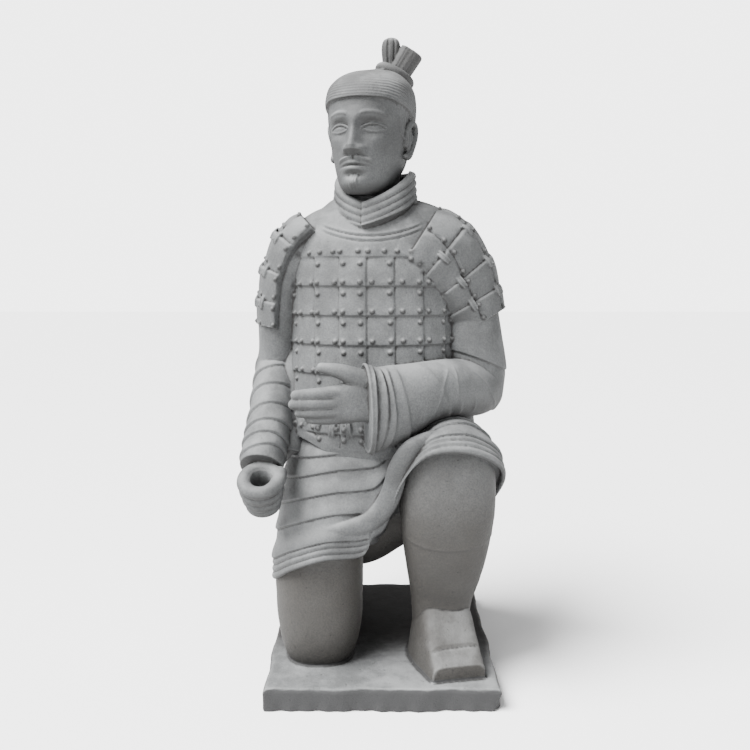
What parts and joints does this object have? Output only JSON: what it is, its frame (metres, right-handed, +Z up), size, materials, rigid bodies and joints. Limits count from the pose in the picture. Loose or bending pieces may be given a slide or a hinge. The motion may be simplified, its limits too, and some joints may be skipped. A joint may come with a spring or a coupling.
{
  "type": "kneeling soldier statue",
  "caption": "Kneeling armoured soldier carved in grey stone with its square plinth: topknot, plated vest with rivets, pleated robe, one fist pierced by a round grip hole.",
  "frame": {"origin": "centre of the plinth's underside", "axes": "+Z up, the figure faces -Y, +X to the viewer's right"},
  "size_m": [0.5121, 0.506, 1.2345],
  "materials": {
    "grey_stone": null
  },
  "bodies": {
    "root": {"statue": "grey_stone"}
  },
  "joints": []
}
